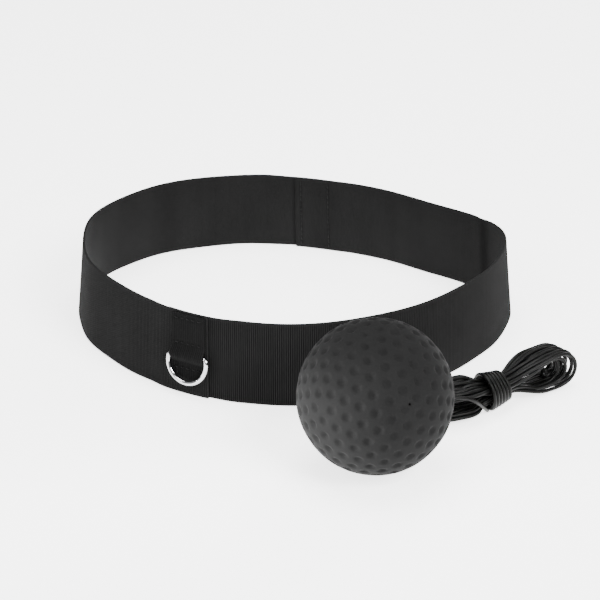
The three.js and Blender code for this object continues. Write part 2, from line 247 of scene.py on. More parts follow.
class Finish:
    """A procedural material: a Principled shader with sockets fed by small node graphs.

    Given values of a node are its settings where they start with a small letter, and its
    sockets where they start with a capital."""

    def __init__(self, name, **constants):
        self.material = bpy.data.materials.new(name)
        self.material.use_nodes = True
        self.tree = self.material.node_tree
        self.shader = self.tree.nodes["Principled BSDF"]
        for socket, value in constants.items():
            self.put(self.shader.inputs[socket.replace("_", " ")], value)
        self.coords = self.node("ShaderNodeTexCoord").outputs["Object"]
        uv = self.node("ShaderNodeUVMap", uv_map="run").outputs["UV"]
        parts = self.node("ShaderNodeSeparateXYZ", Vector=uv).outputs
        self.u, self.v = parts["X"], parts["Y"]

    def put(self, socket, value):
        if isinstance(value, bpy.types.NodeSocket):
            self.tree.links.new(value, socket)
        elif isinstance(value, tuple) and socket.type == "RGBA":
            socket.default_value = (*value, 1)
        else:
            socket.default_value = value

    def node(self, kind, **given):
        made = self.tree.nodes.new(kind)
        for key, value in given.items():
            if key[0].islower():
                setattr(made, key, value)
            else:
                self.put(made.inputs[key.replace("_", " ")], value)
        return made

    def math(self, operation, *values):
        made = self.node("ShaderNodeMath", operation=operation)
        for k, value in enumerate(values):
            self.put(made.inputs[k], value)
        return made.outputs[0]

    def wave(self, phase):
        """abs(sin(phase)), a row of rounded ridges."""
        return self.math("ABSOLUTE", self.math("SINE", phase))

    def noise(self, scale, detail=2.0, roughness=0.5):
        made = self.node("ShaderNodeTexNoise", Vector=self.coords,
                         Scale=scale, Detail=detail, Roughness=roughness)
        return made.outputs["Fac"]

    def varied(self, scale, detail, amount, roughness=0.5):
        """Noise as a factor that lies this amount on either side of 1."""
        return self.span(self.noise(scale, detail, roughness), *MIDDLE, 1 - amount, 1 + amount)

    def span(self, value, low, high, to_low=0.0, to_high=1.0):
        made = self.node("ShaderNodeMapRange")
        for k, v in enumerate((value, low, high, to_low, to_high)):
            self.put(made.inputs[k], v)
        return made.outputs[0]

    def mix(self, factor, dark, light):
        made = self.node("ShaderNodeMix", data_type="RGBA")
        for k, v in ((0, factor), (6, dark), (7, light)):
            self.put(made.inputs[k], v)
        return made.outputs[2]

    def bump(self, height, strength, distance):
        made = self.node("ShaderNodeBump", Strength=strength, Distance=distance * MM,
                         Height=height)
        self.put(self.shader.inputs["Normal"], made.outputs[0])

    def color(self, value):
        self.put(self.shader.inputs["Base Color"], value)

    def shade(self, tone, color):
        """A colour that is black where tone is 0, as given where it is 1, and double at 2."""
        self.color(self.mix(self.math("MULTIPLY", tone, 0.5), (0, 0, 0),
                            tuple(2 * c for c in color)))

    def roughness(self, value):
        self.put(self.shader.inputs["Roughness"], value)


def grey(level):
    return (level, level, level)


def webbing(name, level, rib, yarn, relief, painted_weave_shade, uneven=1.0, rough=0.78, streak=1.1,
            fold=False):
    """Woven tape: crosswise ribs with fine lengthwise yarns passing over and under them."""
    f = Finish(name, Sheen_Weight=0.01, Sheen_Roughness=0.45, Specular_IOR_Level=0.02)
    ribs = f.wave(f.math("MULTIPLY", f.u, math.pi / (rib * MM)))
    column = f.math("FLOOR", f.math("DIVIDE", f.u, rib * MM))
    flip = f.math("MULTIPLY", f.math("MODULO", column, 2.0), math.pi / 2)
    yarns = f.wave(f.math("MULTIPLY_ADD", f.v, math.pi / (yarn * MM), flip))
    weave = f.math("MULTIPLY", f.math("POWER", ribs, 1.3), f.math(
        "MULTIPLY_ADD", yarns, 0.6, 0.4))
    fibre = f.noise(5200.0, 3.0, 0.6)
    f.bump(f.math("ADD", weave, f.math("MULTIPLY", fibre, 0.25)), 0.55, relief)
    # painted shade in the furrows of the weave and painted highlight on its crests, and the dye is
    # uneven in patches and across the tape
    patches = f.varied(38.0, 3.0, 0.14 * uneven, 0.55)
    streaks = f.span(f.node(
        "ShaderNodeTexNoise", noise_dimensions="1D", W=f.math("DIVIDE", f.u, streak * MM),
        Scale=1.0, Detail=2.0).outputs["Fac"], *MIDDLE, 1 - 0.1 * uneven, 1 + 0.1 * uneven)
    # painted shade and highlight: the tone follows the weave's relief
    tone = f.math("MULTIPLY", f.math("MULTIPLY", patches, streaks), f.math(
        "MULTIPLY_ADD", weave, 2.4 * painted_weave_shade, 0.04 + 0.75 * (1 - painted_weave_shade)))
    # rubbed edges are a little paler, and a few specks of lint lie on the face
    rubbed = (1.4 * MM, 0.2 * MM)
    edge = f.math("MAXIMUM", f.span(f.v, *rubbed),
                  f.span(f.v, *(WEB_WIDTH * MM - v for v in rubbed)))
    tone = f.math("ADD", tone, f.math("MULTIPLY", edge, 0.35))
    tone = f.math("ADD", tone, f.span(f.noise(900.0, 1.0), 0.79, 0.83, 0.0, 0.8))
    # painted shade: the satin's colour darkens across the fold
    if fold:  # darker in the fold
        beside = f.math("ABSOLUTE", f.math("SUBTRACT", f.u, FOLD_AT * MM))
        tone = f.math("MULTIPLY", tone, f.span(beside, 1 * MM, 5.5 * MM, 0.45, 1.0))
    f.shade(tone, grey(level))
    f.roughness(f.span(fibre, *MIDDLE, rough, rough + 0.17))
    return f.material


def thread_finish():
    """Twisted sewing thread."""
    f = Finish("thread", Sheen_Weight=0.02, Specular_IOR_Level=0.12)
    twist = f.wave(f.math("MULTIPLY_ADD", f.u, math.pi / (0.45 * MM),
                          f.math("MULTIPLY", f.v, 2 * math.pi)))
    f.bump(twist, 0.7, 0.06)
    # painted shade in the grooves of the twist and painted highlight on its ridges
    f.shade(f.math("MULTIPLY", f.math("MULTIPLY_ADD", twist, 0.7, 0.5),
                   f.varied(700.0, 2.0, 0.2)), grey(0.003))
    f.roughness(f.span(twist, 0.0, 1.0, 0.75, 0.6))
    return f.material


def chrome_finish():
    """Bright plating, faintly clouded and marked."""
    f = Finish("plated_wire", Metallic=1.0)
    cloud = f.noise(260.0, 4.0, 0.6)
    marks = f.noise(1400.0, 2.0, 0.7)
    f.roughness(f.span(f.math("MULTIPLY_ADD", marks, 0.5, f.math("MULTIPLY", cloud, 0.5)),
                       0.35, 0.65, 0.03, 0.09))
    f.color(f.mix(f.span(cloud, *MIDDLE), (0.44, 0.44, 0.45), (0.56, 0.56, 0.57)))
    f.bump(marks, 0.03, 0.01)
    return f.material


def foam_finish():
    """Moulded foam skin with fine pores, with painted shade in its dimples and down the hole."""
    f = Finish("foam_skin", Specular_IOR_Level=0.05, Sheen_Weight=0.01, Sheen_Roughness=0.3)
    pores = f.noise(2600.0, 3.0, 0.65)
    pits = f.node("ShaderNodeTexVoronoi", Vector=f.coords, Scale=1500.0).outputs["Distance"]
    f.bump(f.math("MULTIPLY_ADD", f.span(pits, 0.0, 0.35), 0.5, pores), 0.35, 0.1)
    hollow_shade = f.node("ShaderNodeAttribute", attribute_name="hollow_shade").outputs["Fac"]
    cloud = f.varied(45.0, 4.0, 0.14, 0.6)
    speck = f.span(pores, *MIDDLE, 0.86, 1.14)
    # painted shade: darker where the mask is high, in the dimples and down the hole
    f.shade(f.math("MULTIPLY", f.math("MULTIPLY", cloud, speck),
                   f.span(hollow_shade, 0.0, 1.0, 1.02, 0.9)), grey(0.0066))
    f.roughness(f.span(f.math("MULTIPLY_ADD", cloud, 0.3, pores), 0.5, 1.0, 0.66, 0.82))
    return f.material


def cord_finish():
    """Braided cover: two sets of strands crossing in small diamonds."""
    f = Finish("braid", Specular_IOR_Level=0.1, Sheen_Weight=0.005)
    run = f.math("MULTIPLY", f.u, math.pi / (1.15 * MM))
    round_it = 8 * math.pi
    one = f.wave(f.math("MULTIPLY_ADD", f.v, round_it, run))
    other = f.wave(f.math("SUBTRACT", f.math("MULTIPLY", f.v, round_it), run))
    braid = f.math("POWER", f.math("MULTIPLY", one, other), 0.5)
    fibre = f.noise(4200.0, 2.0, 0.6)
    f.bump(f.math("MULTIPLY_ADD", fibre, 0.2, braid), 0.5, 0.07)
    # painted shade between the strands of the braid and painted highlight on their crests
    f.shade(f.math("MULTIPLY", f.varied(70.0, 3.0, 0.2),
                   f.math("MULTIPLY_ADD", braid, 0.8, 0.45)), (0.0013, 0.00135, 0.00115))
    f.roughness(f.span(fibre, *MIDDLE, 0.3, 0.44))
    return f.material


CORD_FINISH = cord_finish()

# ---------------------------------------------------------------- cord
hank_line = Line(HANK_LINE)
HANK_REACH = 3  # reach over which the hank's direction is taken


def in_hank(way):
    """Points given as mm along the hank, mm to its far side and mm up, in the row's frame."""
    s, x, y = np.asarray(way, float).T
    ahead = hank_line.ahead(s, HANK_REACH)
    side = np.stack([-ahead[:, 1], ahead[:, 0], np.zeros(len(s))], -1)
    side /= np.linalg.norm(side, axis=1, keepdims=True)
    up = np.cross(ahead, side)
    return hank_line.at(s) + side * x[:, None] + up * y[:, None]


# Each turn: its loop radius, its place across the hank, and its left and right ends along it.
# Six inner turns go from the near side to the far one, then eight outer ones come back
INNER, OUTER = 5.6, 7.2
INNER_STEP, OUTER_STEP = 1.95, 1.74
INNER_ENDS = zip((5.6, 4.4, 6.2, 4.9, 6.4, 5.2), (90.6, 88.0, 91.2, 89.0, 91.6, 90.0))
OUTER_ENDS = zip((2.2, 0.9, 2.6, 1.4, 3.0, 0.8, 2.0, 1.2),
                 (93.2, 94.2, 92.8, 94.8, 93.4, 95.6, 94.2, 95.0))
TURNS = ([(INNER, x, *ends) for x, ends in zip(np.arange(-2.5, 3) * INNER_STEP, INNER_ENDS)]
         + [(OUTER, x, *ends) for x, ends in zip(np.arange(3.5, -4, -1) * OUTER_STEP, OUTER_ENDS)])
# where each turn lies across and up at the waist, for its upper run
WAIST_PLACES = [(x, 0.8) for x in (-4.4, -2.64, -0.88, 0.88, 2.64, 4.4)] + [
    (3.9, 2.4), (2.4, 2.4), (1.7, 3.9), (0.8, 2.4), (0.0, 3.9), (-0.8, 2.4), (-2.2, 2.9),
    (-3.8, 2.4)]
WAIST_TUCK = 0.45  # the lower runs lie this much nearer the middle there
HALF_ACROSS = 6
OPENS_LEFT, OPENS_RIGHT = (0.5, 14), 7  # the mm past the waist where the runs part
OPENS_OVER = 15  # how long that takes on the right, on the far side
NEAR_OPENS_LATER = {1: 13, -1: 3}  # and how much longer on the near side, above and below
LAYERED = (14, 28)  # from there to the waist, beside the ball, they lie in two sloping layers
LAYERS = {1: (5.2, 0.26), -1: (-3.65, 0.19)}  # height at the middle, and slope to the far side
WANDER = (0.55, 0.35)  # how far the runs stray across and up
WANDER_AT = np.linspace(0, 98, 8)
STEADY, STEADY_ENDS = (8, 20), 14  # they stray less near the waist and the ends

random = np.random.default_rng(11)


def run_of_turn(k, sign, s):
    """Across and up places of turn k at s, sign -1 for the lower run and +1 for the upper one."""
    radius, x, left, right = TURNS[k]
    waist_x, waist_y = WAIST_PLACES[k]
    if sign < 0:
        waist_x = waist_x + (WAIST_TUCK if waist_x < 0 else -WAIST_TUCK)
    reach = OPENS_OVER + NEAR_OPENS_LATER[sign] * (HALF_ACROSS - x) / (2 * HALF_ACROSS)
    to_left = smooth(WAIST - s, *OPENS_LEFT)
    layered = smooth(s, *LAYERED) * (s < WAIST)
    height, slope = LAYERS[sign]
    high = sign * radius * (1 - layered) + layered * (height + slope * x)
    out = to_left + smooth(s - WAIST, OPENS_RIGHT, OPENS_RIGHT + reach)
    stray_x, stray_y = (np.interp(s, WANDER_AT, random.normal(0, w, len(WANDER_AT)))
                        for w in WANDER)
    free = (smooth(np.abs(s - WAIST), *STEADY) * smooth(s, left, left + STEADY_ENDS)
            * smooth(right - s, 0, STEADY_ENDS))
    return (waist_x + (x - waist_x) * out + stray_x * free,
            sign * waist_y * (1 - out) + high * out + stray_y * free * (1 - 0.6 * layered))


LEAD_JOINS = 24  # the first lower run starts here, from the lead


def hank_way():
    """The turns: out along a lower run, round the right end, back above, round the left end."""
    rows = []
    for k, (radius, x, left, right) in enumerate(TURNS):
        s = np.arange(left + radius, right - radius, 0.5)
        lower, upper = s if k else s[s > LEAD_JOINS], s[::-1]
        rows.append(np.stack([lower, *run_of_turn(k, -1, lower)], -1))
        theta = np.linspace(-math.pi / 2, math.pi / 2, 40)[1:-1]
        rows.append(np.stack([right - radius + radius * np.cos(theta),
                              np.full(len(theta), x), radius * np.sin(theta)], -1))
        rows.append(np.stack([upper, *run_of_turn(k, 1, upper)], -1))
        if k + 1 < len(TURNS):
            next_radius, next_x, next_left, _ = TURNS[k + 1]
            t = np.linspace(0, 1, 42)[1:-1]
            theta = math.pi / 2 + math.pi * t
            r = radius + (next_radius - radius) * t
            tip = left + (next_left - left) * t
            rows.append(np.stack([tip + r + r * np.cos(theta),
                                  x + (next_x - x) * smooth(t, 0, 1), r * np.sin(theta)], -1))
    return np.concatenate(rows)


WRAPS, WRAP_PITCH = 6, 1.8
WRAP_START, WRAP_TILT, WRAP_TURN = 48.0, 0.13, 0.2
WRAP_FROM, WRAP_ON = math.radians(235), math.radians(70)
WRAP_R_LEFT, WRAP_R_RIGHT = 7.9, 6.1  # the bundle narrows to the right


def wrap_way():
    """The wraps round the waist, a little aslant."""
    phi = np.arange(WRAP_FROM, WRAP_FROM + 2 * math.pi * WRAPS + WRAP_ON, 0.12)
    turn = (phi - WRAP_FROM) / (2 * math.pi)
    r = WRAP_R_LEFT + (WRAP_R_RIGHT - WRAP_R_LEFT) * turn / WRAPS
    x, y = r * np.cos(phi), r * np.sin(phi)
    return np.stack([WRAP_START + WRAP_PITCH * turn - WRAP_TILT * y + WRAP_TURN * x, x, y], -1)


LEAD, TURN, WRAP = 0, 1, 3  # numbers of three of the cord's five stretches


def cord_path():
    """The cord's middle, from the ball to its free end, and the stretch each point is in."""
    exit_at = lambda d: BALL_CENTRE - HOLE_AXIS * (BALL_R + d)
    lead = np.array([
        exit_at(0.5), exit_at(6), (13.9, -57.6, 12.5), (11.6, -52.3, 5.2), (15.2, -50.2, 1.4),
        (21, -52.6, 0.9), (26.2, -56.4, 0.85), (29.2, -61.8, 0.85), (33.4, -67.0, 0.9),
        (40, -69.4, 1.5), (47.5, -68.9, 2.3)])
    link = [  # from the last turn, along the near side and down under the first wrap
        (11.5, -6.0, 7.2), (6.6, -6.5, 6.2), (3.4, -7.2, 3.6), (3.6, -7.8, 0.4),
        (7.2, -8.0, -2.2), (13, -7.9, -1.2), (19, -7.9, 2.4), (25, -8.0, 5.0),
        (30.5, -8.2, 5.7), (34.8, -8.4, 4.3), (38.2, -8.3, 1.8)]
    tail = [  # from the last wrap, tucked in among the loops on the right
        (61.0, 5.4, -4.6), (64.2, 6.9, -2.7), (67.6, 7.0, -0.8), (71.0, 5.4, 0.0),
        (74.4, 3.2, -0.6), (78.0, 1.6, -1.8), (81.5, 0.8, -2.5)]
    # the dense rows are thinned so that the joins between them are rounded off
    ways = [lead, in_hank(hank_way())[4:-3:4], in_hank(link), in_hank(wrap_way())[2::3],
            in_hank(tail)]
    stretch = np.concatenate([np.full(len(way), k) for k, way in enumerate(ways)])
    line = Line(np.concatenate(ways), per_span=8)
    path = line.spaced(1.2)
    at = np.linspace(0, line.length, len(path))
    knots = line.at_point[::8]
    return path, stretch[np.clip(np.searchsorted(knots, at), 0, len(stretch) - 1)]


CLEAR = 1.68  # how far apart the strands' middles are kept
LOOK_PAST = 1.6  # pairs this much further apart are watched too, and listed anew every 10 rounds
ROUNDS = 150
HELD = 6  # points at the ball that stay
PUSH, BEND, HOME = 0.9, 0.5, 0.015  # shares of each wanted move that one round makes
UNDER_WRAPS = 11  # how far to each side of the waist the wraps press the bundle together


def inside_wraps(off):
    """Radius of the bundle under the wraps, off mm to the right of the waist."""
    return 5.45 - 0.13 * off - 0.1 * np.minimum(0, off) + 0.35 * np.maximum(0, np.abs(off) - 6.5)


def relaxed(path, stretch):
    """Moves neighbouring strands apart until they lie side by side, as the real ones do."""
    start = path.copy()
    n = len(path)
    free = np.ones(n)
    free[stretch == WRAP] = 0.0
    free[:HELD] = 0.0
    free[stretch == LEAD] *= 0.5
    waist = hank_line.at(WAIST)
    ahead = hank_line.ahead(WAIST, HANK_REACH)
    for turn in range(ROUNDS):
        if turn % 10 == 0:
            p32 = path.astype(np.float32)
            square = (p32 ** 2).sum(1)
            gap2 = square[:, None] + square[None] - 2 * p32 @ p32.T
            i, j = np.nonzero(np.triu(gap2 < (CLEAR + LOOK_PAST) ** 2, 5))
        d = path[i] - path[j]
        gap = np.linalg.norm(d, axis=1)
        near = gap < CLEAR
        a, b = i[near], j[near]
        push = d[near] / np.maximum(gap[near], 1e-6)[:, None] * (CLEAR - gap[near])[:, None]
        share = free[a] / np.maximum(free[a] + free[b], 1e-6)
        move = np.zeros_like(path)
        hits = np.zeros(n)
        np.add.at(move, a, push * share[:, None])
        np.add.at(move, b, -push * (1 - share)[:, None])
        np.add.at(hits, a, 1)
        np.add.at(hits, b, 1)
        path = path + PUSH * move / np.maximum(1, hits * 0.6)[:, None] * (free > 0)[:, None]
        # bending stiffness, on neighbours two steps apart, and a weak pull home
        bent = np.zeros_like(path)
        bent[2:-2] = (-path[:-4] + 4 * path[1:-3] + 4 * path[3:-1] - path[4:]) / 6 - path[2:-2]
        path = path + bent * BEND * free[:, None]
        path = path + HOME * (start - path) * free[:, None]
        # under the wraps the bundle stays inside them
        rel = path - waist
        off = rel @ ahead
        radial = rel - off[:, None] * ahead
        far = np.linalg.norm(radial, axis=1)
        limit = inside_wraps(off)
        squeeze = (far > limit) & (np.abs(off) < UNDER_WRAPS) & (stretch == TURN)
        path[squeeze] -= radial[squeeze] * (1 - limit[squeeze] / far[squeeze])[:, None] * 0.6
        path[:, 2] = np.maximum(path[:, 2], CORD / 2 + 0.03)  # on the table
    return path


path = relaxed(*cord_path())
CORD_SIDES = 12
cord = Solid().tube(Line(path, per_span=2).points, CORD / 2, CORD_SIDES).piece(
    "cord", CORD_FINISH, "cord", "cord_braid", "cord_lead", "cord_hank", "cord_wraps")


def overhand_knot(centre, size, axis):
    """A pulled-tight knot: a trefoil of the same cord, with its middle on centre."""
    t = np.linspace(0, 2 * math.pi, 72, endpoint=False)
    x, y = np.sin(t) + 2 * np.sin(2 * t), np.cos(t) - 2 * np.cos(2 * t)
    z = -np.sin(3 * t) * 1.25
    axis = np.asarray(axis, float) / np.linalg.norm(axis)
    side = np.cross(axis, [0, 0, 1])
    side /= np.linalg.norm(side)
    up = np.cross(axis, side)
    wire = size * 0.38
    k = (size - wire) / 3
    line = centre + k * (x[:, None] * side + y[:, None] * up + z[:, None] * axis)
    return Solid().tube(line, wire, 10, joined=True)


TAIL_KNOT, STOPPER_KNOT = 2.3, 2.0  # radii
tip_ahead = path[-1] - path[-3]
end_knot = overhand_knot(path[-1] + tip_ahead * 0.6, TAIL_KNOT, tip_ahead).piece(
    "cord_tail_knot", CORD_FINISH, "cord", "cord_braid")

PIT_FLOOR = math.sqrt(BALL_R ** 2 - PIT_R ** 2) - PIT_DEPTH  # from the ball's middle
KNOT_AT = PIT_FLOOR + GAP + 1.9
overhand_knot(BALL_CENTRE + HOLE_AXIS * KNOT_AT, STOPPER_KNOT, HOLE_AXIS).piece(
    "stopper_knot", CORD_FINISH, "cord", "cord_braid", "cord_end_knot")
core = np.linspace(-BALL_R - 0.2, KNOT_AT - 1.4, 50)
Solid().tube(BALL_CENTRE + HOLE_AXIS * core[:, None], CORD / 2, CORD_SIDES).piece(
    "cord_core", CORD_FINISH, "cord", "cord_braid", "cord_in_ball")


# ---------------------------------------------------------------- webbing band
band = Line(OUTLINE, joined=True, per_span=400)


def band_point(s, out, z):
    """Beside the band's middle line: s mm along it, out mm outwards and z mm up."""
    s, out, z = np.broadcast_arrays(*(np.asarray(v, float) for v in (s, out, z)))
    along = band.ahead(s)
    lean = LEAN + LEAN_SIDE * along[..., 1] ** 2 - LEAN_BACK * along[..., 0]
    aside = out - lean * z
    p = band.at(s)
    return np.stack([p[..., 0] + along[..., 1] * aside, p[..., 1] - along[..., 0] * aside, z], -1)


SEAM_ROWS = {
    "back_seam_start": BACK_LAP + ROW_INSET, "back_seam_end": BACK_LAP + LAP_LENGTH - ROW_INSET,
    "front_seam_start": FRONT_LAP + ROW_INSET,
    "front_seam_end": FRONT_LAP + LAP_LENGTH - ROW_INSET}
ROW_REACH = 0.9  # half width of the furrow that a row of stitches pulls
ROW_FOOT = 1.5  # height of its lower end


def pulled_in(s, z):
    """How deep the seams' thread pulls the face in at s, z."""
    depth = 0
    for row in SEAM_ROWS.values():
        for turn in (0, band.length):
            depth = depth + np.exp(-((s - row - turn) / ROW_REACH) ** 2)
    return depth * (0.14 + 0.07 * np.cos(2 * math.pi * (z - ROW_FOOT) / STITCH))


FLAT, ROUNDED = 1, 0.7  # how much of the ribs' relief the faces and the selvages carry


def web_section():
    """Places round the tape's section: out from its middle, up, and the share of relief."""
    rows = np.concatenate([[WEB_EDGE], np.linspace(1.4, WEB_WIDTH - 1.4, 11),
                           [WEB_WIDTH - WEB_EDGE]])
    side, top = WEB_HALF - WEB_EDGE, WEB_WIDTH - WEB_EDGE
    turns = [(WEB_EDGE * math.cos(b), WEB_EDGE * math.sin(b)) for b in np.radians([22.5, 45, 67.5])]
    return ([(WEB_HALF, z, FLAT) for z in rows]
            + [(side + c, top + s, ROUNDED) for c, s in turns]
            + [(-side - s, top + c, -ROUNDED) for c, s in turns]
            + [(-WEB_HALF, z, -FLAT) for z in rows[::-1]]
            + [(-side - c, WEB_EDGE - s, -ROUNDED) for c, s in turns]
            + [(side + s, WEB_EDGE - c, ROUNDED) for c, s in turns])


def ridges(run):
    """Rounded ribs along run, from -0.5 in the furrows to 0.5 on the crests."""
    return np.abs(np.sin(math.pi * run / RIB)) ** 0.8 - 0.5


STEPS_PER_RIB = 6
INSIDE_RELIEF = 0.02
DUCK, DUCK_OVER = 0.55, 16  # each length's first end sits this much low, and over what it rises


def strap(name, node, start, end, shifts, relief, finish, slot):
    """A length of webbing with its crosswise ribs, from one lap to the next."""
    s = np.linspace(start, end, round((end - start) / (RIB / STEPS_PER_RIB)) + 1)
    out, z, face = (np.array(v)[None] for v in zip(*web_section()))
    from_lap = np.minimum(s - start, end - s) - LAP_LENGTH
    shift = (shifts[0] * (1 - smooth(s - start - LAP_LENGTH, 0, LAP_EASE))
             + shifts[1] * (1 - smooth(end - s - LAP_LENGTH, 0, LAP_EASE)))
    t = s[:, None]
    # ribs, fading into the flat sealed ends
    ends = smooth(np.minimum(s - start, end - s), 0.1, 0.9)[:, None]
    ridge = ridges(t - start)
    depth = np.where(face > 0, relief * np.abs(face), INSIDE_RELIEF * np.abs(face))
    out = out * (0.62 + 0.38 * ends) + np.sign(face) * depth * ridge * ends
    out = out - face * pulled_in(t, z) * (np.abs(face) == FLAT)
    # the wall is never quite true: slow swells, none in the laps
    swell = (0.3 * np.sin(t / 9.3 + 0.8) * (z / WEB_WIDTH)
             + 0.22 * np.sin(t / 6.1 + 2.1) * (1 - z / WEB_WIDTH) + 0.16 * np.sin(t / 14.7))
    out = out + swell * smooth(from_lap, 2, 22)[:, None]
    out = out - FOLD_DEPTH * np.exp(-((t - FOLD_AT) / FOLD_REACH) ** 2)
    # scalloped selvages
    lip = np.where(z > WEB_WIDTH / 2, 1, -1) * (np.abs(face) == ROUNDED)
    edge = z + lip * 0.07 * (ridge - 0.5) * ends
    # sewn down, the layer behind sits a little low in the first lap
    edge = edge * (1 - DUCK / WEB_WIDTH * (1 - smooth(t - start - LAP_LENGTH, 0, DUCK_OVER)))
    # each cut end is a little uneven
    cut = (0.12 * np.sin(z * 1.9 + start) + 0.08 * np.sin(z * 4.3)) * (1 - ends)
    rings = band_point(t + cut, shift[:, None] + out, np.broadcast_to(edge, (len(s), z.shape[1])))
    around = np.concatenate([z[0], z[0][:1]]) * MM
    on_back = np.tile(face[0] == -FLAT, len(s) - 1)
    return Solid().loft(rings, s * MM, around).piece(
        name, finish, "headband", slot, node, back=SATIN, on_back=on_back)


YARN, WIDE_YARN = 0.5, 1.0  # pitch of the lengthwise yarns
RIBBED = webbing("ribbed_webbing", 0.0061, RIB, YARN, relief=0.16, painted_weave_shade=0.9)
PLAIN = webbing("plain_webbing", 0.0074, RIB, WIDE_YARN, relief=0.14, painted_weave_shade=0.5)
SATIN = webbing("satin_back", 0.0058, RIB / 2, YARN, relief=0.03, painted_weave_shade=1.0,
                uneven=0.9, rough=0.5, streak=13, fold=True)
TAB_WEB = webbing("tab_webbing", 0.0049, RIB, YARN, relief=0.1, painted_weave_shade=0.45)
THREAD = thread_finish()
strap("webbing_right", "strap_right", FRONT_LAP, BACK_LAP + LAP_LENGTH + band.length,
      (FRONT_INNER, BACK_INNER), 0.15, RIBBED, "webbing_ribbed")
strap("webbing_left", "strap_left", BACK_LAP, FRONT_LAP + LAP_LENGTH,
      (BACK_OUTER, FRONT_OUTER), 0.05, PLAIN, "webbing_plain")


DIP = 0.3  # how far each stitch's ends go into the tape


def stitches(solid, place, length, pitch=STITCH, shown=0.84):
    """Separate stitches in a row: place(d, lift) is d mm along it and lift mm off the face."""
    count = round(length / pitch)
    for k in range(count):
        jog = random.normal(0, 0.05, 2)
        middle = (k + 0.5) * length / count + jog[0]
        t = np.linspace(-1, 1, 15)
        d = middle + shown / 2 * pitch * t * (1 - 0.08 * t ** 4)
        lift = -DIP + (THREAD_R + DIP + jog[1]) * (1 - t ** 4) ** 0.75
        solid.tube(place(d, lift), THREAD_R, 8, scale=1 - 0.12 * t ** 2)
    return solid


for row, s in SEAM_ROWS.items():
    for where, facing in (("inside", -1), ("outside", 1)):
        node = f"{row}_{where}"
        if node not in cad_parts:
            continue
        layer = BACK_OUTER if facing > 0 else FRONT_INNER if "front" in row else BACK_INNER
        face = layer + facing * WEB_HALF
        place = lambda d, lift: band_point(s, face + facing * (lift - 0.1), 1.2 + d)
        stitches(Solid(), place, WEB_WIDTH - 3).piece(
            f"stitching_{node}", THREAD, "headband", "sewing_thread", node)


# ---------------------------------------------------------------- tab and D-ring
# heights of the tab's rows of stitches and their length, then the short column down its foot:
# how far to the left it is, where it starts and how long it is
TAB_ROWS = {"tab_stitches_top": 35.6, "tab_stitches_middle": 24.3, "tab_stitches_low": 12.7}
TAB_SEWN = TAB_WIDTH - 2.4
COLUMN_AT, COLUMN_FOOT, COLUMN = 5.2, 9.3, 4.0
# how much it widens and curls over the bar, and how deep its furrows are
FLARE, CURL, PRESSED = 0.02, 0.08, 0.26


def in_tab(out, up, left):
    """Points mm off the band, mm up and mm to the left, as the tab lies."""
    out, up, left = np.broadcast_arrays(*(np.asarray(v, float) for v in (out, up, left)))
    return (TAB_ORIGIN + out[..., None] * TAB_OUT + up[..., None] * TAB_UP
            + left[..., None] * TAB_LEFT)


def tab_out(y):
    """How far off the band the strip's middle lies at height y."""
    reach = np.minimum(1, np.abs(y - BAR_HEIGHT) / TUNNEL_HALF)
    return GAP + TAB_THICK / 2 + TUNNEL_RISE * (1 + np.cos(math.pi * reach)) / 2


def tab():
    """One strip over the ring's bar, pressed in along its stitches and flared over the bar."""
    y = np.linspace(TAB_FOOT, TAB_TOP, 171)[:, None]
    half = TAB_WIDTH / 2
    flare = 1 + FLARE * np.exp(-((y - BAR_HEIGHT) / 3.2) ** 2)
    across = np.concatenate([[-half + 0.04], np.linspace(-half + 0.3, half - 0.3, 97),
                             [half - 0.04]])
    slope = (tab_out(y + 0.01) - tab_out(y - 0.01)) / 0.02
    size = np.sqrt(1 + slope ** 2)
    x = across[None] * flare
    inside_edge = smooth(half - np.abs(across), 0, 0.7)
    over_bar = np.exp(-((y - BAR_HEIGHT) / 4.5) ** 2)
    relief = (0.02 + 0.1 * over_bar) * ridges(across) * inside_edge
    pull = 0
    for row in TAB_ROWS.values():
        pull = pull + (np.exp(-((y - row) / ROW_REACH) ** 2)
                       * (np.abs(across) < TAB_SEWN / 2 + 0.8))
    column = (np.exp(-((across - COLUMN_AT) / 0.8) ** 2) * smooth(y, 9.2, 10)
              * (1 - smooth(y, 15, 16)))
    pull = np.minimum(1, pull + column) * PRESSED
    ends = smooth(np.minimum(y - TAB_FOOT, TAB_TOP - y), 0, 0.8)
    thick = TAB_THICK / 2 * (0.55 + 0.45 * ends) * (0.45 + 0.55 * inside_edge)
    # the strip's edges curl a little towards the band over the bar
    curl = -CURL * (np.abs(across) / half) ** 4 * over_bar
    wave = 0.08 * np.sin(across * 0.9 + y * 0.35)
    middle = tab_out(y) + curl + wave * 0.5 * (1 - over_bar)
    outer_d = thick + relief - pull
    outer = in_tab(middle + outer_d / size, y - slope * outer_d / size, x)
    inner = in_tab(np.maximum(middle - thick / size, GAP * 0.4), y + slope * thick / size, x)
    rings = np.concatenate([outer, inner[:, ::-1]], axis=1)
    around = np.concatenate([across, across[::-1], across[:1]]) * MM
    # its ribs run up the strip, so the weave's run lies across it
    solid = Solid().loft(rings, (y[:, 0] - 3) * MM, around)
    solid.uv = [[[c[1], c[0]] for c in face] for face in solid.uv]
    return solid.piece("tab_strip", TAB_WEB, "headband", "tab_webbing", "dring_tab")


tab()
TAB_FACE = GAP + TAB_THICK - 0.2  # where the pressed-in face lies
for node, row in TAB_ROWS.items():
    place = lambda d, lift: in_tab(TAB_FACE + lift, row, TAB_SEWN / 2 - d)
    stitches(Solid(), place, TAB_SEWN, 2.72, 0.48).piece(
        f"sewn_{node}", THREAD, "headband", "sewing_thread", node)
place = lambda d, lift: in_tab(TAB_FACE + lift, COLUMN_FOOT + d, COLUMN_AT)
stitches(Solid(), place, COLUMN, 2.0, 0.55).piece(
    "sewn_tab_column", THREAD, "headband", "sewing_thread")


